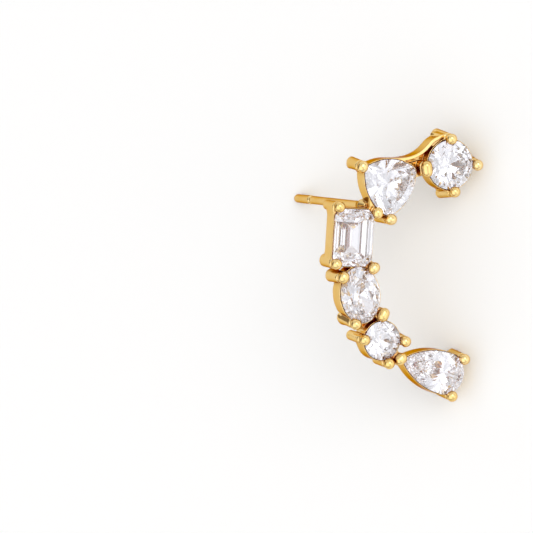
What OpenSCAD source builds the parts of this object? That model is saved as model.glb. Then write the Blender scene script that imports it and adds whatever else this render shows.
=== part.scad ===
// Ear climber: six claw-set stones in a gold frame that curves up the ear, with a straight post
// behind. The climber is built flat, face up, and then laid down as it comes to rest by itself.

/* [Round stone] */
// Diameter of the round stone at the top end
round_d = 3.5; // [3:0.1:4.5]

/* [Trillion stone] */
// Distance from the middle of the three-cornered stone to each tip
trillion_tip = 2.2; // [2.1:0.05:2.5]
// Distance from its middle to the crest of each side
trillion_side = 1.76; // [1.65:0.01:1.85]
// Radius of its rounded tips
trillion_tip_r = 0.55; // [0.4:0.05:0.65]

/* [Emerald-cut stone] */
// Width of the emerald-cut stone
emerald_w = 3; // [2.5:0.1:3.6]
// Length of the emerald-cut stone
emerald_l = 4; // [3.4:0.1:5]
// How much is cut off each of its corners, along the side
emerald_corner = 0.45; // [0.3:0.05:0.6]

/* [Oval stone] */
// Width of the oval stone
oval_w = 3; // [2.6:0.1:3.4]
// Length of the oval stone
oval_l = 4; // [3.8:0.1:5]
// Radius of the rounded ends of the oval
oval_end_r = 1.25; // [1.05:0.05:1.3]

/* [Small round stone] */
// Diameter of the small round stone
small_d = 2.75; // [2.25:0.05:3.5]

/* [Pear stone] */
// Width of the pear-shaped stone
pear_w = 3; // [2.5:0.1:3.5]
// Length of the pear-shaped stone from its tip to its round end
pear_l = 5; // [4.5:0.1:6]
// Radius of its tip
pear_tip_r = 0.15; // [0.1:0.01:0.25]

/* [Stone cut] */
// Height of the stones from girdle to table
crown_h = 0.5; // [0.35:0.05:0.6]
// Thickness of the girdle
girdle_t = 0.12; // [0.1:0.01:0.15]
// Depth of the stones below the girdle, as a share of their width
pavilion_share = 0.41; // [0.35:0.01:0.43]
// Slope of the main crown facets in degrees
crown_angle = 35; // [32:1:40]

/* [Frame] */
// Depth of the wall strips from their rim to the back
wall_h = 1.15; // [0.95:0.05:1.4]
// Thickness of the wall strips
wall_t = 0.33; // [0.28:0.01:0.4]
// Height of the lower metal that joins neighbouring settings
join_h = 0.55; // [0.45:0.05:0.9]
// How far the walls stand outside the girdle
rim_out = 0.08; // [0.05:0.01:0.12]
// How far the claws reach behind the walls
claw_behind = 0.55; // [0.35:0.05:0.65]
// Diameter of the claw rods
claw_d = 0.72; // [0.62:0.02:0.8]
// Rounding of the back ends of the claws
claw_round = 0.1; // [0.05:0.01:0.15]
// Diameter of the beads on the claws
bead_d = 0.78; // [0.74:0.02:0.86]
// Height of the bead's middle above the rim
bead_up = 0.4; // [0.35:0.05:0.5]
// Clear gap between each stone and the metal
stone_gap = 0.03; // [0.02:0.01:0.05]

/* [Post] */
// Diameter of the post
post_d = 0.6; // [0.55:0.01:0.66]
// Length of the post behind the claws
post_l = 10.8; // [9:0.1:12]
// How far the post leans down the row of stones, in degrees
post_lean = 1.8; // [0:0.2:3]
// Diameter of the thicker end of the post, just past the groove
post_end_d = 0.66; // [0.62:0.01:0.72]
// Diameter to which that end narrows at the tip
post_tip_d = 0.62; // [0.5:0.01:0.66]
// Length of the thicker end
post_end_l = 2.6; // [1.5:0.1:3]
// Diameter at the bottom of the groove
groove_d = 0.46; // [0.4:0.02:0.5]
// Width of the groove along the post
groove_w = 0.3; // [0.2:0.05:0.5]

/* [Hidden] */
$fn = 48;
gold = [0.86, 0.66, 0.28];
clear_stone = [0.93, 0.94, 0.97];

// Heights in the flat frame, from the back ends of the claws up
rim_z = claw_behind + wall_h;
girdle_z = rim_z + girdle_t / 2;
bead_z = rim_z + bead_up;
claw_r = claw_d / 2;
bead_r = bead_d / 2;
wall_in = wall_t - rim_out;
// Sizes below these count as nothing: the radius of a tip and the side of a cut corner
least_tip = 0.01;
least_corner = 0.02;
// How far beyond the place where two arcs meet an outline is cut, in degrees
meet_past = 0.001;

function u(a) = [cos(a), sin(a)];
function turn(p, a) = [p.x * cos(a) - p.y * sin(a), p.x * sin(a) + p.y * cos(a)];
// An angle brought into -180 to 180
function wrap(a) = a - 360 * floor((a + 180) / 360);

// Outlines. Each is convex and made of arcs. arc_of gives, for the stretch whose outward direction
// is a, the arc's middle and its radius.
ROUND = 0;
SMALL = 1;
OVAL = 2;
PEAR = 3;
TRILLION = 4;
EMERALD = 5;

// Side arcs of the oval, which meet its end arcs without a corner
oval_end_y = oval_l / 2 - oval_end_r;
oval_side_x = (pow(oval_end_y, 2) - pow(oval_w / 2 - oval_end_r, 2)) / (oval_w - 2 * oval_end_r);
oval_side_r = oval_w / 2 + oval_side_x;
oval_meet = atan2(oval_end_y, oval_side_x);

// Side arcs of the pear run from its belly to its tip arc. Its origin is the middle of the belly.
pear_r = pear_w / 2;
pear_tip_x = pear_l - pear_r - pear_tip_r;
pear_side_r = (pow(pear_tip_x, 2) / (pear_r - pear_tip_r) + pear_r + pear_tip_r) / 2;
pear_side_y = pear_side_r - pear_r;
pear_meet = atan2(pear_side_y, -pear_tip_x);

// Side arcs of the trillion, tangent to its tip arcs
tri_tip_c = trillion_tip - trillion_tip_r;
tri_k = trillion_side - trillion_tip_r;
tri_side_c = (pow(tri_tip_c, 2) - pow(tri_k, 2)) / (2 * tri_k - tri_tip_c);
tri_side_r = trillion_side + tri_side_c;
tri_meet = atan2(tri_tip_c * sin(60), tri_tip_c * cos(60) + tri_side_c);
function tri_tip_a(a) = 30 + 120 * round((a - 30) / 120);
function tri_side_a(a) = 90 + 120 * round((a - 90) / 120);
function tri_on_side(a) = abs(wrap(a - tri_side_a(a))) <= tri_meet;

function arc_of(kind, a) =
    let (b = wrap(a))
    kind == ROUND ? [[0, 0], round_d / 2]
    : kind == SMALL ? [[0, 0], small_d / 2]
    : kind == OVAL ? (abs(sin(b)) < sin(oval_meet)
        ? [[-sign(cos(b)) * oval_side_x, 0], oval_side_r]
        : [[0, sign(sin(b)) * oval_end_y], oval_end_r])
    : kind == PEAR ? (abs(b) <= 90 ? [[0, 0], pear_r]
        : abs(b) <= pear_meet ? [[0, -sign(b) * pear_side_y], pear_side_r]
        : [[-pear_tip_x, 0], pear_tip_r])
    : (tri_on_side(a) ? [-tri_side_c * u(tri_side_a(a)), tri_side_r]
        : [tri_tip_c * u(tri_tip_a(a)), trillion_tip_r]);

// The point of the emerald cut where a corner or a side faces direction a
function emerald_point(a) =
    let (b = wrap(a), m = emerald_corner / 2)
    [sign(cos(b)) * (emerald_w / 2 - m), sign(sin(b)) * (emerald_l / 2 - m)];

// The outline's own point that faces direction a, moved out by grow
function edge(kind, a, grow = 0) =
    kind == EMERALD ? emerald_point(a) + grow * u(a)
    : let (c = arc_of(kind, a)) c[0] + (c[1] + grow) * u(a);

// Stones in their order down the ear. Columns: outline, turn on the face, and for the claw that ties
// the stone to the one before it, the direction and the reach from this stone's own edge.
STONES = [
    [ROUND, 2, 0, 0],
    [TRILLION, -3, 15, 0.73],
    [EMERALD, -4, 4, 0.34],
    [OVAL, 10.5, 38, 0.29],
    [SMALL, 0, 92.5, 0.5],
    [PEAR, -19, 180, 0.37]
];
// Claws of each stone: direction, reach from the stone's edge, and half of the bead's extra length.
// The next stone hangs on the last claw of each list.
CLAWS = [
    [[90, 0.08, 0], [-4, 0.26, 0], [-86, 0.17, 0], [184, 0.26, 0.2]],
    [[157.5, 0.46, 0.05], [272, 0.24, 0.05]],
    [[4, 0.34, 0.04], [102.5, 0.38, 0], [247, 0.1, 0], [-43, 0.43, 0.06]],
    [[144, 0.21, 0.05], [233, 0.17, 0], [-36, 0.4, 0.12]],
    [[174, 0.17, 0], [-4, 0.28, 0], [-77, 0.28, 0], [-46.5, 0.48, 0.1]],
    [[54, 0.19, 0], [-57, 0.17, 0]]
];
// Step from the trillion's lowest claw to the first claw of the emerald cut, and its direction
claw_step = 1.12;
claw_step_a = 155;

function kind_of(i) = STONES[i][0];
function turn_of(i) = STONES[i][1];
function last_claw(i) = len(CLAWS[i]) - 1;
function step_to(i) = kind_of(i) == EMERALD ? claw_step * u(claw_step_a) : [0, 0];
// A place beside stone i, at direction a on its outline and out by grow, from the stone's middle
function beside(i, a, grow) = turn(edge(kind_of(i), a, grow), turn_of(i));
function claw_xy(i, j) = middle_of(i) + beside(i, CLAWS[i][j][0], CLAWS[i][j][1]);
// The claws tie the stones together, so each middle follows from the stone before
function middle_of(i) = i == 0 ? [0, 0]
    : claw_xy(i - 1, last_claw(i - 1)) + step_to(i) - beside(i, STONES[i][2], STONES[i][3]);

module on_stone(i) {
    translate(middle_of(i)) rotate(turn_of(i)) children();
}

// Flat outlines with true arcs, moved out by grow
module outline(kind, grow) {
    if (kind == ROUND) circle(round_d / 2 + grow);
    if (kind == SMALL) circle(small_d / 2 + grow);
    if (kind == OVAL) oval_outline(grow);
    if (kind == PEAR) pear_outline(grow);
    if (kind == TRILLION) trillion_outline(grow);
    if (kind == EMERALD) polygon(step_ring(-grow));
}

module oval_outline(grow) {
    meet_y = edge(OVAL, oval_meet + meet_past, grow).y;
    for (s = [-1, 1]) translate([0, s * oval_end_y]) circle(oval_end_r + grow);
    intersection() {
        intersection_for (s = [-1, 1])
            translate([s * oval_side_x, 0]) circle(oval_side_r + grow, $fn = 96);
        square([2 * oval_w, 2 * meet_y], center = true);
    }
}

module pear_outline(grow) {
    tip_r = pear_tip_r + grow;
    // Moved in by more than the tip's radius, the side arcs simply cross
    meet_x = tip_r > least_tip ? edge(PEAR, pear_meet, grow).x : -pear_l;
    circle(pear_r + grow);
    if (tip_r > least_tip) translate([-pear_tip_x, 0]) circle(tip_r);
    intersection() {
        intersection_for (s = [-1, 1])
            translate([0, s * pear_side_y]) circle(pear_side_r + grow, $fn = 144);
        translate([meet_x, -pear_w]) square([-meet_x, 2 * pear_w]);
    }
}

module trillion_outline(grow) {
    tip_r = trillion_tip_r + grow;
    // How far out along a tip the side arcs go
    tip_cut = tip_r > least_tip ? edge(TRILLION, 90 + tri_meet - meet_past, grow) * u(150) : trillion_tip;
    if (tip_r > least_tip) for (a = [30, 150, 270]) translate(tri_tip_c * u(a)) circle(tip_r);
    intersection() {
        intersection_for (a = [90, 210, 330])
            translate(-tri_side_c * u(a)) circle(tri_side_r + grow, $fn = 144);
        polygon([for (a = [90, 210, 330]) 2 * tip_cut * u(a)]);
    }
}

// Brilliant cut, for every outline but the emerald cut. Each main facet is a plane through the
// girdle that faces one direction. Neighbouring planes cut each other where the star and girdle
// facets meet them, so every facet is flat.
star_share = 0.7;
lower_share = 0.78;
// The space under a stone's point is this many gaps deep
point_gaps = 1.5;
function mains(kind) =
    kind == PEAR ? [-128, -112, -95, -64, -32, 0, 32, 64, 95, 112, 128]
    : kind == TRILLION ? [for (a = [30, 150, 270]) each [a, a + 46, a + 60, a + 74]]
    : [for (k = [0:7]) 45 * k];
function width_of(kind) =
    kind == ROUND ? round_d : kind == SMALL ? small_d : kind == OVAL ? oval_w
    : kind == PEAR ? pear_w : kind == TRILLION ? trillion_tip + trillion_side : emerald_w;
function depth_of(kind) = pavilion_share * width_of(kind);
// Direction q quarters of the way from main facet k to the next
function facing(m, k, q) =
    let (n = len(m), a = m[k % n], b = m[(k + 1) % n])
    a + q / 4 * ((b - a + 720) % 360);
// Where the lines facing a and b, at distances p and q from the middle, cross
function cross_point(a, p, b, q) =
    [(p * sin(b) - q * sin(a)) / sin(b - a), (q * cos(a) - p * cos(b)) / sin(b - a)];
// Height above point p of the plane through points a, b and c
function height_on(a, b, c, p) =
    let (n = cross(b - a, c - a)) a.z - (n.x * (p.x - a.x) + n.y * (p.y - a.y)) / n.z;

module brilliant(kind, grow) {
    m = mains(kind);
    n = len(m);
    top = girdle_t / 2 + grow;
    table = girdle_t / 2 + crown_h + grow;
    culet = -girdle_t / 2 - depth_of(kind) - point_gaps * grow;
    rim = [for (k = [0:n - 1]) for (q = [0:3]) edge(kind, facing(m, k, q), grow)];
    far = [for (k = [0:n - 1]) rim[4 * k] * u(m[k])];
    function at(k) = (k + n) % n;
    // The crown planes rise at one slope, the pavilion planes all end at the culet
    function crown_in(z) = (z - top) / tan(crown_angle);
    function inset(k, z) = z > 0 ? far[k] - crown_in(z) : far[k] * (z - culet) / (-top - culet);
    function corner(k, z) =
        let (j = at(k + 1))
        let (p = cross_point(m[k], inset(k, z), m[j], inset(j, z))) [p.x, p.y, z];
    table_ring = [for (k = [0:n - 1])
        let (p = rim[4 * k] * inset(k, table) / far[k]) [p.x, p.y, table]];
    star_ring = [for (k = [0:n - 1]) corner(k, top + star_share * (table - top))];
    lower_ring = [for (k = [0:n - 1]) corner(k, -top + lower_share * (culet + top))];
    // Girdle edges dip where a flat facet meets the curved girdle between its two corners
    function girdle_edge(side, ring) = [for (i = [0:4 * n - 1])
        let (k = floor(i / 4), p = rim[i], h = 2 * floor(i / 2), a = rim[h], b = rim[(h + 2) % (4 * n)])
        [p.x, p.y, i % 2 == 0 ? side * top
            : height_on([a.x, a.y, side * top], [b.x, b.y, side * top], ring[k], p)]];
    points = concat(table_ring, star_ring, girdle_edge(1, star_ring), girdle_edge(-1, lower_ring),
                    lower_ring, [[0, 0, culet]]);
    s0 = n;
    g0 = 2 * n;
    b0 = 6 * n;
    l0 = 10 * n;
    c0 = 11 * n;
    function g(i) = g0 + (i + 4 * n) % (4 * n);
    function b(i) = b0 + (i + 4 * n) % (4 * n);
    faces = concat(
        [[for (k = [n - 1:-1:0]) k]],
        [for (k = [0:n - 1]) [k, at(k + 1), s0 + k]],
        [for (k = [0:n - 1]) [k, s0 + k, g(4 * k), s0 + at(k - 1)]],
        [for (k = [0:n - 1]) [s0 + k, g(4 * k + 2), g(4 * k + 1), g(4 * k)]],
        [for (k = [0:n - 1]) [s0 + k, g(4 * k + 4), g(4 * k + 3), g(4 * k + 2)]],
        [for (i = [0:4 * n - 1]) [g(i), g(i + 1), b(i + 1), b(i)]],
        [for (k = [0:n - 1]) [l0 + k, b(4 * k), b(4 * k + 1), b(4 * k + 2)]],
        [for (k = [0:n - 1]) [l0 + k, b(4 * k + 2), b(4 * k + 3), b(4 * k + 4)]],
        [for (k = [0:n - 1]) [c0, l0 + at(k - 1), b(4 * k), l0 + k]]);
    polyhedron(points, faces);
}

// Emerald cut, in steps. An eight-sided ring lies in from the girdle by the same amount all round.
function step_ring(in) =
    let (a = emerald_w / 2 - in, b = emerald_l / 2 - in)
    let (c = max(emerald_corner - in * (2 - sqrt(2)), least_corner))
    [[a, b - c], [a - c, b], [c - a, b], [-a, b - c],
     [-a, c - b], [c - a, -b], [a - c, -b], [a, c - b]];
// Steps from table to keel: how far in, as a share of half the width, and how far up or down, as a
// share of the crown or the pavilion
CROWN_STEPS = [[0.4, 1], [0.27, 0.77], [0.13, 0.42], [0, 0]];
PAVILION_STEPS = [[0, 0], [0.28, 0.42], [0.62, 0.8], [0.97, 1]];

module step_cut(grow) {
    half = emerald_w / 2;
    up = girdle_t / 2 + grow;
    crown = [for (s = CROWN_STEPS) [s[0] * half - grow, up + s[1] * crown_h]];
    pavilion = [for (s = PAVILION_STEPS) [s[0] * half - grow, -up - s[1] * depth_of(EMERALD)]];
    steps = concat(crown, pavilion);
    points = [for (s = steps) for (p = step_ring(s[0])) [p.x, p.y, s[1]]];
    last = 8 * (len(steps) - 1);
    faces = concat(
        [[for (i = [7:-1:0]) i]],
        [for (k = [0:len(steps) - 2]) for (i = [0:7]) let (j = (i + 1) % 8)
            [8 * k + i, 8 * k + j, 8 * k + 8 + j, 8 * k + 8 + i]],
        [[for (i = [0:7]) last + i]]);
    polyhedron(points, faces);
}

// Stone i in the flat frame. With grow it is the space that the metal leaves for it.
module stone(i, grow = 0) {
    on_stone(i) translate([0, 0, girdle_z]) {
        if (kind_of(i) == EMERALD) step_cut(grow);
        else brilliant(kind_of(i), grow);
    }
}

// Flat strip of metal with a curved outer edge from p to q, and its thickness. The directions a and
// b are those in which the edge leaves p and reaches q, and bend_pull says for what share of the way
// it keeps to them. The metal is on its left.
bend_pull = 0.4;
function bend(p, a, q, b, t) =
    let (d = norm(q - p) * bend_pull, h = p + d * u(a), k = q - d * u(b))
    pow(1 - t, 3) * p + 3 * pow(1 - t, 2) * t * h + 3 * (1 - t) * t * t * k + pow(t, 3) * q;
module strip(p, a, q, b, thick) {
    steps = 12;
    left_p = p + thick * u(a + 90);
    left_q = q + thick * u(b + 90);
    outer = [for (i = [0:steps]) bend(p, a, q, b, i / steps)];
    inner = [for (i = [steps:-1:0]) bend(left_p, a, left_q, b, i / steps)];
    polygon(concat(outer, inner));
}
// Flat bar from p to q
module bar(p, q, w) {
    d = q - p;
    translate(p) rotate(atan2(d.y, d.x)) translate([0, -w / 2]) square([norm(d), w]);
}

// The post stands beside the emerald cut's first claw, at this distance and direction from it
post_beside = 0.56;
post_beside_a = 132;
post_xy = claw_xy(2, 0) + post_beside * u(post_beside_a);
// Solder round the post's root: its radius at the walls' back, its radius and height where it
// slopes in more, and how far that slope runs along the post to end inside it
solder_root_r = 0.48;
solder_r = 0.44;
solder_z = 0.3;
solder_l = 0.6;

// Widths of the metal between neighbours: emerald cut and oval, oval and small round stone, small
// round stone and pear, trillion's lowest claw and emerald cut
JOIN_W = [1, 1.3, 0.7, 0.4];
// The long curve from the round setting to the trillion passes these two places: direction on the
// round stone, distance outside its edge, and heading
CURVE = [[94, 0.375, 184], [135, 0.5, 228]];
curve_t = 0.22;
// A web fills the gap between that curve and the round stone's wall. It reaches this far in from
// the curve's outer edge, and lies this far below the rim.
web_t = 0.5;
web_down = 0.15;
// Direction on the trillion in which its side strip leaves it
trillion_leave_a = 207;
// Where the trillion's side strip meets the emerald cut's top, from that stone's first claw
side_strip_meets = [-0.43, 0.19];

function curve_at(k) = middle_of(0) + (round_d / 2 + CURVE[k][1]) * u(CURVE[k][0]);
trillion_meet = middle_of(1) + beside(1, 90, rim_out);
trillion_leave = middle_of(1) + beside(1, trillion_leave_a - turn_of(1), rim_out);
// Width of the metal that ties stone i to its claw on the stone before
function tie_w(i) = kind_of(i) == EMERALD ? claw_d : claw_d + 2 * CLAWS[i - 1][last_claw(i - 1)][2];

// All full-height walls seen from the front
module wall_plan() {
    for (i = [0:5]) on_stone(i) outline(kind_of(i), rim_out);
    for (i = [0:5]) for (c = CLAWS[i]) claw_root(i, c[0], c[1], claw_d);
    // The long curve leaves the top claw of the round setting and runs beside its wall
    strip(curve_at(0), CURVE[0][2], curve_at(1), CURVE[1][2], curve_t);
    strip(curve_at(1), CURVE[1][2], trillion_meet, turn_of(1) + 180, curve_t);
    // The side wall of the trillion runs straight down to the emerald cut
    strip(trillion_leave, trillion_leave_a + 90, claw_xy(2, 0) + side_strip_meets, 270, wall_t);
}

// The web between the long curve and the round stone's wall
module web_plan() {
    strip(curve_at(0), CURVE[0][2], curve_at(1), CURVE[1][2], web_t);
}

// The lower metal, seen from the front. Each stone is tied to a claw of the one before it, and
// where neighbours stand close, metal fills the gap between their walls.
module join_plan() {
    for (i = [1:5]) claw_root(i, STONES[i][2], STONES[i][3], tie_w(i));
    bar(middle_of(2), middle_of(3), JOIN_W[0]);
    bar(middle_of(3), middle_of(4), JOIN_W[1]);
    bar(middle_of(4), middle_of(5) - (pear_l - pear_r) * u(turn_of(5)), JOIN_W[2]);
    bar(claw_xy(1, 1), claw_xy(2, 0), JOIN_W[3]);
}

// Openings under the stones
module openings() {
    for (i = [0:5]) on_stone(i) outline(kind_of(i), rim_out - wall_t);
}

// Root of a claw, from its rod in to the wall
module claw_root(i, a, reach, w) {
    on_stone(i) bar(edge(kind_of(i), a, reach), edge(kind_of(i), a, -wall_in / 2), w);
}

// Claw: a rod with a rounded back end and a bead on top. A wide claw has its bead drawn out along
// the edge of the stone.
module claw(stretch) {
    for (s = stretch > 0 ? [-stretch, stretch] : [0]) translate([0, s, 0]) {
        cylinder(h = bead_z, r = claw_r - claw_round);
        translate([0, 0, claw_round]) cylinder(h = bead_z - claw_round, r = claw_r);
        rotate_extrude() translate([claw_r - claw_round, claw_round]) circle(claw_round);
        translate([0, 0, bead_z]) sphere(bead_r);
    }
    if (stretch > 0) {
        translate([-claw_r, -stretch, 0]) cube([claw_d, 2 * stretch, bead_z]);
        translate([0, stretch, bead_z]) rotate([90, 0, 0]) cylinder(h = 2 * stretch, r = bead_r);
    }
}

// Post, from the walls back to its rounded tip. It is drawn pointing up and then turned over.
module post() {
    groove_at = post_l - post_end_l - groove_w;
    end_at = groove_at + groove_w;
    tip_at = post_l - post_tip_d / 2;
    translate(post_xy) rotate([-post_lean, 0, 0]) mirror([0, 0, 1]) {
        translate([0, 0, -claw_behind]) {
            cylinder(h = claw_behind - solder_z, r1 = solder_root_r, r2 = solder_r);
            cylinder(h = claw_behind + groove_at, d = post_d);
            mirror([0, 0, 1]) cylinder(h = wall_h / 2, r1 = solder_root_r, r2 = groove_d / 2);
        }
        translate([0, 0, -solder_z]) cylinder(h = solder_l, r1 = solder_r, r2 = groove_d / 2);
        // The groove has two sloping sides
        translate([0, 0, groove_at]) {
            cylinder(h = groove_w / 2, d1 = post_d, d2 = groove_d);
            translate([0, 0, groove_w / 2]) cylinder(h = groove_w / 2, d1 = groove_d, d2 = post_end_d);
        }
        translate([0, 0, end_at]) cylinder(h = tip_at - end_at, d1 = post_end_d, d2 = post_tip_d);
        translate([0, 0, tip_at]) sphere(d = post_tip_d);
    }
}

module flat_frame() {
    difference() {
        union() {
            translate([0, 0, claw_behind]) {
                linear_extrude(wall_h) difference() {
                    wall_plan();
                    openings();
                }
                linear_extrude(wall_h - web_down) difference() {
                    web_plan();
                    openings();
                }
                linear_extrude(join_h) difference() {
                    join_plan();
                    openings();
                }
            }
            for (i = [0:5]) on_stone(i) for (c = CLAWS[i])
                translate(edge(kind_of(i), c[0], c[1])) rotate(c[0]) claw(c[2]);
            post();
        }
        for (i = [0:5]) stone(i, stone_gap);
    }
}

// The resting pose. The climber leans back on the end of its post and on the back ends of two
// claws, the outer one of the round stone and the upper one of the pear.
foot = claw_xy(5, 0);
foot_line = (claw_xy(0, 1) - foot) / norm(claw_xy(0, 1) - foot);
foot_out = [foot_line.y, -foot_line.x];
post_r = post_tip_d / 2;
post_end = [post_xy.x, post_xy.y, 0] - (post_l - post_r) * [0, sin(post_lean), cos(post_lean)];
lean_a = foot_out * (foot - [post_end.x, post_end.y]) + claw_r - claw_round;
lean_b = claw_round - post_end.z;
lean = atan2(lean_a, lean_b) - asin((post_r - claw_round) / norm([lean_a, lean_b]));
// Where right, back and up lie in the flat frame
right = [foot_line.x, foot_line.y, 0];
back = [-sin(lean) * foot_line.y, sin(lean) * foot_line.x, -cos(lean)];
up = [-cos(lean) * foot_out.x, -cos(lean) * foot_out.y, sin(lean)];
// How far the climber reaches in direction d of the flat frame
function flat_part(d) = norm([d.x, d.y]);
function wall_reach(d) = max([for (i = [0:5]) for (a = [0:5:355]) for (z = [claw_behind, rim_z])
    let (p = middle_of(i) + beside(i, a, rim_out)) [p.x, p.y, z] * d]);
function claw_reach(d) = max([for (i = [0:5]) for (j = [0:last_claw(i)]) let (p = claw_xy(i, j))
    max([p.x, p.y, bead_z] * d + bead_r,
        [p.x, p.y, claw_round] * d + (claw_r - claw_round) * flat_part(d) + claw_round)]);
function post_reach(d) = post_end * d + post_r;
function reach(d) = max(wall_reach(d), claw_reach(d), post_reach(d));

module laid() {
    translate([(reach(-right) - reach(right)) / 2, (reach(-back) - reach(back)) / 2, reach(-up)])
        multmatrix([right, back, up]) children();
}

module climber_frame() {
    color(gold) laid() flat_frame();
}
module round_stone() {
    color(clear_stone) laid() stone(0);
}
module trillion_stone() {
    color(clear_stone) laid() stone(1);
}
module emerald_stone() {
    color(clear_stone) laid() stone(2);
}
module oval_stone() {
    color(clear_stone) laid() stone(3);
}
module small_round_stone() {
    color(clear_stone) laid() stone(4);
}
module pear_stone() {
    color(clear_stone) laid() stone(5);
}

climber_frame();
round_stone();
trillion_stone();
emerald_stone();
oval_stone();
small_round_stone();
pear_stone();
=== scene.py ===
"""Looks of the ear climber: polished gold, six clear cut stones, a pale floor and studio light."""

import math

import bmesh
import bpy
import numpy as np
from mathutils import Matrix, Vector


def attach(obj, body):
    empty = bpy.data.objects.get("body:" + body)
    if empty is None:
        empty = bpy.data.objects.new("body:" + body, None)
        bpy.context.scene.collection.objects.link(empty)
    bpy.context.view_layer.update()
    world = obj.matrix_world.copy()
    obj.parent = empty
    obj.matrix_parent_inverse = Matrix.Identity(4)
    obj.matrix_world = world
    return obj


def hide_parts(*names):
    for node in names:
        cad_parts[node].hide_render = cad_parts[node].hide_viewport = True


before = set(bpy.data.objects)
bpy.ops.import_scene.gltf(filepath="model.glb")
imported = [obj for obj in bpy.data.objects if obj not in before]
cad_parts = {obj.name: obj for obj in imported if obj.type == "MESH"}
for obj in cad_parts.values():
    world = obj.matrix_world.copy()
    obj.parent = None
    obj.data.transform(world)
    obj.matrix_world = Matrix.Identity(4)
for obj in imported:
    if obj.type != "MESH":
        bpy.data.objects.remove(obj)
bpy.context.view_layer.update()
scene = bpy.context.scene

MM = 0.001

# The climber is drawn flat, face up, and then comes to rest on three points: seen from its face it is
# turned this far clockwise, and the face leans back this far from upright
HEADING = math.radians(85.912)
LEAN = math.radians(37.012)
# Middle of the round stone at the back ends of the claws, where the flat frame starts, in millimetres
FLAT_ORIGIN = np.array([7.30078, -4.50123, 1.85135])
# The flat frame's three axes
FLAT_AXES = np.array([
    [math.cos(HEADING), -math.sin(LEAN) * math.sin(HEADING), -math.cos(LEAN) * math.sin(HEADING)],
    [math.sin(HEADING), math.sin(LEAN) * math.cos(HEADING), math.cos(LEAN) * math.cos(HEADING)],
    [0.0, -math.cos(LEAN), math.sin(LEAN)]])

# The photograph: how the flat frame is turned in it, about which point of that frame, where that point
# lies in the picture, and how far off the camera stands, in millimetres
PITCH, YAW, ROLL = math.radians(6.0), math.radians(24.0), math.radians(0.1)
TURNED_ABOUT = Vector((-3.52, -7.0, 1.8))
IN_PICTURE = Vector((9.793, 0.064, 0.0))
CAMERA_FAR = 250.0
LENS = 239.775
SENSOR = 36.0
# Nearest and farthest that the camera sees, in millimetres
CLIP_START = 10
CLIP_END = 10000

# Height of the beads' middles in the flat frame, and the beads' radius, in millimetres
BEAD_Z = 2.1
BEAD_R = 0.39
# Shares of that radius: how high a bead's cap starts above its middle, and how near each other two
# points of one cap lie
CAP_FROM = 0.85
CAP_GAP = 0.7

# Casting, in millimetres: the grain at which the gold is melted into one skin
VOXEL = 0.032
# Steps that even out the skin, and the share by which each step in and each step out moves it
SMOOTH_STEPS = 5
SMOOTH_SHARES = (0.6, -0.62)
MOST_TRIANGLES = 190000
# Claws that lean: roughly where in the flat frame the bead stands, how far off the back end of its rod
# stands, and by what share that end is wider
LEANS = [((0, 2), (-0.2, 0.27), 0.1),
         ((2, 0), (0.0, 0.45), 0),
         ((0, -2), (-0.12, -0.2), 0.1),
         ((-7, 0), (0.08, 0.2), 0),
         ((-9, -6.5), (0.08, 0.12), 0.35),
         ((-8.5, -7.5), (0, 0), 0.25),
         ((-7.5, -11), (-0.1, 0.32), 0.25),
         ((-7, -12), (-0.14, 0.15), 0),
         ((-3.5, -12.5), (0.0, 0.28), 0),
         ((-5, -14), (0.0, 0.1), 0),
         ((1, -14), (0.0, 0.2), 0),
         ((0, -16.5), (0.0, 0.18), 0)]
# Radius of a claw, how far past it the lean fades out, and the height under which there is only the
# post with its solder, which doesn't lean
CLAW_R = 0.46
CLAW_FADE = 0.4
POST_UNDER = -0.05
# Notch round each claw just behind its bead: how far behind the bead's middle it lies, half its width,
# and by what share the claw is thinner there
NOTCH_DOWN = 0.3
NOTCH_HALF = 0.13
NOTCH_DEPTH = 0.2
# Web of metal low between the long curve, the trillion's wall and its claw on the round setting: its
# corners in the flat frame, and its heights
WEB = [(-2.6, 0.0), (-1.65, 0.2), (-1.75, 1.25), (-3.3, 0.35)]
WEB_Z = (0.56, 1.0)

# Lowest and highest that the noise in the finishes usually gets, and how fine it is per millimetre
NOISE_LOW = 0.3
NOISE_HIGH = 0.7
TONE_GRAIN = 0.6
POLISH_GRAIN = 2.5
RIPPLE_GRAIN = 6
STONE_GRAIN = 3
FLOOR_GRAIN = 0.05

# Gold: its two tones, its tint at grazing angles, and the painted shade in its corners
GOLD_TONES = ((0.94, 0.67, 0.25, 1), (0.99, 0.76, 0.37, 1))
GOLD_GRAZING = (0.55, 0.25, 0.05, 1)
GOLD_PAINTED_SHADE = (0.3, 0.09, 0.01, 1)
GOLD_ROUGHNESS = (0.06, 0.1)
# Height of the ripples in the polish, in millimetres
GOLD_RIPPLE = 0.003
# How far off a corner's walls count, in millimetres, and how open a place is where the painted shade is
# darkest and where there is none
CORNER_REACH = 0.5
CORNER_DARK = 0.3
CORNER_UNSHADED = 0.9
CORNER_SAMPLES = 8
# How hollow the skin is where the painted shade in a crease is darkest and where there is none, as the
# renderer measures it
CREASE_DARK = 0.42
CREASE_UNSHADED = 0.48

# How much light each stone lets through: one clear material, made lighter or darker stone by stone as
# painted light and shade, and the tint that they share
STONE_CLEARNESS_AND_SHADE = {"round_stone": 0.86, "trillion_stone": 0.87, "emerald_stone": 0.99, "oval_stone": 0.95,
          "small_round_stone": 0.84, "pear_stone": 0.97}
STONE_TINT = (0.905, 0.905, 0.975)
STONE_IOR = 2.15
STONE_ROUGHNESS = (0.02, 0.05)
# Light goes round inside the stones many times before it leaves them
BOUNCES = 40

# Floor: its colour, its roughness and half its side, in millimetres
FLOOR_COLOUR = (0.94, 0.94, 0.94, 1)
FLOOR_ROUGHNESS = (0.5, 0.6)
FLOOR_HALF = 600

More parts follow.
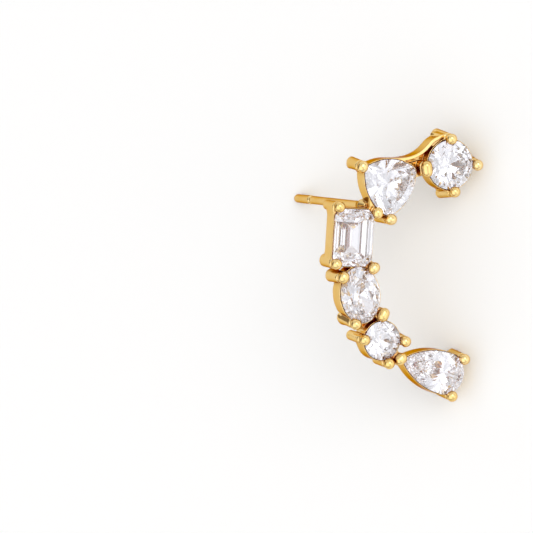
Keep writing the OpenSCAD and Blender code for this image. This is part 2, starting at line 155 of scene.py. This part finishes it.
# Light of the studio by direction: an even base, then for each patch where it lies, the angles in
# degrees at which it starts and stops fading, and what it adds. The least light comes last
WORLD_BASE = 0.77
PATCHES = [((0.42, -0.55, 0.72), 6, 26, 1.9),
           ((-0.3, 0.1, 0.95), 15, 50, 0.6),
           ((-0.07, -0.97, 0.25), 10, 30, 0.6),
           ((0.075, -0.478, 0.875), 2, 8, -0.9),
           ((-0.9, 0.2, 0.2), 5, 35, -0.25),
           ((0.1, 0.95, 0.3), 10, 40, -0.5)]
WORLD_LEAST = 0.02
# Where the studio is dim it turns warm: its colour at no light, and the strength at which it is white
WARM_DARK = (0.75, 0.46, 0.22, 1)
WHITE_FROM = 0.7


def link(obj):
    """Puts obj into the scene and returns it."""
    scene.collection.objects.link(obj)
    return obj


def material(name):
    """A new material, with its node tree and its one Principled shader."""
    mat = bpy.data.materials.new(name)
    mat.use_nodes = True
    tree = mat.node_tree
    shader = next(n for n in tree.nodes if n.type == "BSDF_PRINCIPLED")
    return mat, tree, shader


def noise(tree, per_mm, detail=2.0):
    """Noise over the object's own millimetres. Returns its value output."""
    coords = tree.nodes.new("ShaderNodeTexCoord")
    mapping = tree.nodes.new("ShaderNodeMapping")
    mapping.inputs["Scale"].default_value = (1 / MM, 1 / MM, 1 / MM)
    texture = tree.nodes.new("ShaderNodeTexNoise")
    texture.inputs["Scale"].default_value = per_mm
    texture.inputs["Detail"].default_value = detail
    tree.links.new(coords.outputs["Object"], mapping.inputs["Vector"])
    tree.links.new(mapping.outputs["Vector"], texture.inputs["Vector"])
    return texture.outputs["Fac"]


def map_range(tree, value, from_low, from_high, to_low=0.0, to_high=1.0):
    """value brought from one range to another. Returns the result's output."""
    node = tree.nodes.new("ShaderNodeMapRange")
    node.inputs["From Min"].default_value = from_low
    node.inputs["From Max"].default_value = from_high
    node.inputs["To Min"].default_value = to_low
    node.inputs["To Max"].default_value = to_high
    tree.links.new(value, node.inputs["Value"])
    return node.outputs["Result"]


def uneven_roughness(tree, shader, texture, limits):
    """Roughness that follows the texture between the two limits."""
    spread = map_range(tree, texture, NOISE_LOW, NOISE_HIGH, *limits)
    tree.links.new(spread, shader.inputs["Roughness"])


def ripple(tree, shader, height, depth):
    """Bump of that depth in millimetres on the shader's normal."""
    node = tree.nodes.new("ShaderNodeBump")
    node.inputs["Strength"].default_value = 1.0
    node.inputs["Distance"].default_value = depth * MM
    tree.links.new(height, node.inputs["Height"])
    tree.links.new(node.outputs["Normal"], shader.inputs["Normal"])


def gold_tone(tree):
    """The gold's own colour, uneven over a few millimetres."""
    ramp = tree.nodes.new("ShaderNodeValToRGB")
    for stop, place, tone in zip(ramp.color_ramp.elements, (NOISE_LOW, NOISE_HIGH), GOLD_TONES):
        stop.position = place
        stop.color = tone
    tree.links.new(noise(tree, TONE_GRAIN), ramp.inputs["Fac"])
    return ramp.outputs["Color"]


def unshaded_share(tree):
    """1 where the gold is unshaded, and 0 in corners and creases, where shade is painted into its colour.
    """
    corner = tree.nodes.new("ShaderNodeAmbientOcclusion")
    corner.inputs["Distance"].default_value = CORNER_REACH * MM
    corner.samples = CORNER_SAMPLES
    hollow = tree.nodes.new("ShaderNodeNewGeometry")
    both = tree.nodes.new("ShaderNodeMath")
    both.operation = "MULTIPLY"
    tree.links.new(map_range(tree, corner.outputs["AO"], CORNER_DARK, CORNER_UNSHADED), both.inputs[0])
    tree.links.new(map_range(tree, hollow.outputs["Pointiness"], CREASE_DARK, CREASE_UNSHADED), both.inputs[1])
    return both.outputs["Value"]


def gold_material():
    """Polished gold with faint ripples, and shade painted into its corners."""
    mat, tree, shader = material("polished_gold")
    shader.inputs["Metallic"].default_value = 1.0
    shader.inputs["Specular Tint"].default_value = GOLD_GRAZING
    # Painted shade: the gold's colour turns dark brown in corners and creases
    shade = tree.nodes.new("ShaderNodeMix")
    shade.data_type = "RGBA"
    shade.inputs["A"].default_value = GOLD_PAINTED_SHADE
    tree.links.new(gold_tone(tree), shade.inputs["B"])
    tree.links.new(unshaded_share(tree), shade.inputs["Factor"])
    tree.links.new(shade.outputs["Result"], shader.inputs["Base Color"])
    uneven_roughness(tree, shader, noise(tree, POLISH_GRAIN, detail=4), GOLD_ROUGHNESS)
    ripple(tree, shader, noise(tree, RIPPLE_GRAIN, detail=3), GOLD_RIPPLE)
    return mat


def stone_material(name, tint):
    """Clear stone of that tint."""
    mat, tree, shader = material(name)
    shader.inputs["Base Color"].default_value = (*tint, 1)
    shader.inputs["Transmission Weight"].default_value = 1.0
    shader.inputs["IOR"].default_value = STONE_IOR
    uneven_roughness(tree, shader, noise(tree, STONE_GRAIN), STONE_ROUGHNESS)
    return mat


def to_flat(points):
    """Points in millimetres, as they lie in the flat frame."""
    return (points - FLAT_ORIGIN) @ FLAT_AXES.T


def from_flat(points):
    """Points of the flat frame, as they lie in the shared frame, in millimetres."""
    return points @ FLAT_AXES + FLAT_ORIGIN


def coordinates(mesh):
    """The mesh's points, one to a row."""
    co = np.empty(len(mesh.vertices) * 3)
    mesh.vertices.foreach_get("co", co)
    return co.reshape(-1, 3)


def eased(share):
    """A share from 0 to 1 that starts and ends gently."""
    return share * share * (3 - 2 * share)


def claw_share(away):
    """1 on a claw, fading to 0 past it, by how far away from its middle a point lies."""
    return np.clip((CLAW_R + CLAW_FADE - away) / CLAW_FADE, 0, 1)


def bead_places(flat):
    """Middles of the beads in the flat frame, from the caps in which the metal reaches highest.

    The long bead between the round stone and the trillion gives two, one near each end.
    """
    caps = flat[flat[:, 2] > BEAD_Z + CAP_FROM * BEAD_R, :2]
    places = []
    while len(caps):
        group, caps = caps[:1], caps[1:]
        while True:
            near = np.linalg.norm(caps[:, None] - group[None], axis=2).min(axis=1) < CAP_GAP * BEAD_R
            if not near.any():
                break
            group, caps = np.vstack((group, caps[near])), caps[~near]
        places.append((group.min(axis=0) + group.max(axis=0)) / 2)
    return places


def smooth_skin(mesh):
    """Evens out the skin's steps. Each step in is followed by one out, so that nothing shrinks."""
    co = coordinates(mesh)
    ends = np.empty(len(mesh.edges) * 2, dtype=np.int64)
    mesh.edges.foreach_get("vertices", ends)
    here, there = ends[0::2], ends[1::2]
    count = np.bincount(ends, minlength=len(co))[:, None]
    for share in SMOOTH_SHARES * SMOOTH_STEPS:
        total = np.zeros_like(co)
        for axis in range(3):
            total[:, axis] = (np.bincount(here, co[there, axis], len(co))
                              + np.bincount(there, co[here, axis], len(co)))
        co += share * (total / count - co)
    mesh.vertices.foreach_set("co", co.ravel())


def shape_claws(mesh, places):
    """Notches each claw behind its bead and shears the leaning ones. The mesh is in millimetres."""
    flat = to_flat(coordinates(mesh))
    notch = np.clip(1 - np.abs(flat[:, 2] - BEAD_Z + NOTCH_DOWN) / NOTCH_HALF, 0, 1)
    for place in places:
        off = flat[:, :2] - place
        near = claw_share(np.linalg.norm(off, axis=1))
        flat[:, :2] -= off * (near * NOTCH_DEPTH * eased(notch))[:, None]
    share = np.clip((BEAD_Z - flat[:, 2]) / BEAD_Z, 0, 1)
    for rough, lean, wider in LEANS:
        place = min(places, key=lambda bead: np.linalg.norm(bead - rough))
        off = flat[:, :2] - place
        near = claw_share(np.linalg.norm(off - share[:, None] * lean, axis=1))
        near = eased(near) * (flat[:, 2] > POST_UNDER)
        flat[:, :2] += (near * share)[:, None] * (np.array(lean) + wider * off)
    mesh.vertices.foreach_set("co", from_flat(flat).ravel())


def add_web(mesh):
    """Adds the low web to the mesh, which is in millimetres."""
    flat = np.array([(x, y, z) for z in WEB_Z for x, y in WEB])
    solid = bmesh.new()
    solid.from_mesh(mesh)
    corners = [solid.verts.new(point) for point in from_flat(flat)]
    count = len(WEB)
    solid.faces.new(corners[:count][::-1])
    solid.faces.new(corners[count:])
    for k in range(count):
        after = (k + 1) % count
        solid.faces.new((corners[k], corners[after], corners[count + after], corners[count + k]))
    solid.to_mesh(mesh)
    solid.free()


def finished(obj):
    """A new mesh of obj with its modifiers applied."""
    return bpy.data.meshes.new_from_object(obj.evaluated_get(bpy.context.evaluated_depsgraph_get()))


def cast_gold():
    """The frame's solid melted into one skin, as it leaves the mould, with its edges worn round."""
    source = link(bpy.data.objects.new("gold_source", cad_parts["climber_frame"].data.copy()))
    source.data.transform(Matrix.Scale(1 / MM, 4))
    places = bead_places(to_flat(coordinates(source.data)))
    add_web(source.data)
    melt = source.modifiers.new("melt", "REMESH")
    melt.mode = "VOXEL"
    melt.voxel_size = VOXEL
    skin = finished(source)
    bpy.data.objects.remove(source)
    smooth_skin(skin)
    shape_claws(skin, places)
    gold = link(bpy.data.objects.new("gold_frame", skin))
    triangles = sum(len(p.vertices) - 2 for p in skin.polygons)
    if triangles > MOST_TRIANGLES:
        thin = gold.modifiers.new("thin", "DECIMATE")
        thin.ratio = MOST_TRIANGLES / triangles
        thinned = finished(gold)
        gold.modifiers.clear()
        gold.data = thinned
    gold.data.transform(Matrix.Scale(MM, 4))
    gold.data.shade_smooth()
    gold.data.materials.clear()
    gold.data.materials.append(gold_material())
    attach(gold, "root")
    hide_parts("climber_frame")


def cut_stones():
    """The stones keep their own facets and get clear material with flat shading, lighter or darker stone by
    stone as painted light and shade.
    """
    for name, clearness_and_shade in STONE_CLEARNESS_AND_SHADE.items():
        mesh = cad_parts[name].data
        if "custom_normal" in mesh.attributes:
            mesh.attributes.remove(mesh.attributes["custom_normal"])
        mesh.shade_flat()
        mesh.materials.clear()
        # Painted light and shade: each stone's clearness makes it as bright or as dark as it is to look
        mesh.materials.append(stone_material("clear_" + name, [clearness_and_shade * share for share in STONE_TINT]))


def pale_floor():
    """The floor that the climber lies on."""
    mat, tree, shader = material("pale_floor")
    shader.inputs["Base Color"].default_value = FLOOR_COLOUR
    uneven_roughness(tree, shader, noise(tree, FLOOR_GRAIN), FLOOR_ROUGHNESS)
    half = FLOOR_HALF * MM
    corners = [(-half, -half, 0), (half, -half, 0), (half, half, 0), (-half, half, 0)]
    mesh = bpy.data.meshes.new("floor")
    mesh.from_pydata(corners, [], [(0, 1, 2, 3)])
    mesh.materials.append(mat)
    floor = link(bpy.data.objects.new("floor", mesh))


def studio_world():
    """Light from all round: an even base, with soft brighter or darker patches by direction."""
    world = bpy.data.worlds.new("studio")
    scene.world = world
    world.use_nodes = True
    tree = world.node_tree
    background = tree.nodes["Background"]
    direction = tree.nodes.new("ShaderNodeTexCoord").outputs["Generated"]

    def maths(operation, output, value):
        """output with the value, a number or another output, put to it."""
        node = tree.nodes.new("ShaderNodeMath")
        node.operation = operation
        tree.links.new(output, node.inputs[0])
        if isinstance(value, float):
            node.inputs[1].default_value = value
        else:
            tree.links.new(value, node.inputs[1])
        return node.outputs["Value"]

    patches = []
    for towards, inner, outer, strength in PATCHES:
        dot = tree.nodes.new("ShaderNodeVectorMath")
        dot.operation = "DOT_PRODUCT"
        tree.links.new(direction, dot.inputs[0])
        dot.inputs[1].default_value = Vector(towards).normalized()
        fade_from, fade_to = math.cos(math.radians(outer)), math.cos(math.radians(inner))
        patch = map_range(tree, dot.outputs["Value"], fade_from, fade_to, to_high=strength)
        patch.node.interpolation_type = "SMOOTHSTEP"
        patches.append(patch)
    total = patches[0]
    for patch in patches[1:]:
        total = maths("ADD", total, patch)
    total = maths("MAXIMUM", maths("ADD", total, WORLD_BASE), WORLD_LEAST)
    tree.links.new(total, background.inputs["Strength"])

    warm = tree.nodes.new("ShaderNodeValToRGB")
    dim, bright = warm.color_ramp.elements
    dim.color = WARM_DARK
    bright.position = WHITE_FROM
    bright.color = (1, 1, 1, 1)
    tree.links.new(total, warm.inputs["Fac"])
    tree.links.new(warm.outputs["Color"], background.inputs["Color"])


def photo_camera():
    """The camera, where the photograph was taken from."""
    data = bpy.data.cameras.new("camera")
    data.sensor_width = SENSOR
    data.lens = LENS
    data.clip_start = CLIP_START * MM
    data.clip_end = CLIP_END * MM
    camera = link(bpy.data.objects.new("camera", data))
    turn = Matrix.Rotation(ROLL, 3, "Z") @ Matrix.Rotation(PITCH, 3, "X") @ Matrix.Rotation(YAW, 3, "Y")
    flat = Matrix(FLAT_AXES.tolist()).transposed()
    place = turn.transposed() @ (Vector((0, 0, CAMERA_FAR)) - IN_PICTURE) + TURNED_ABOUT
    pose = (flat @ turn.transposed()).to_4x4()
    camera.matrix_world = Matrix.Translation((flat @ place + Vector(FLAT_ORIGIN)) * MM) @ pose
    scene.camera = camera


cast_gold()
cut_stones()
pale_floor()
studio_world()
photo_camera()
scene.view_settings.view_transform = "Standard"
scene.cycles.max_bounces = BOUNCES
scene.cycles.glossy_bounces = BOUNCES
scene.cycles.transmission_bounces = BOUNCES
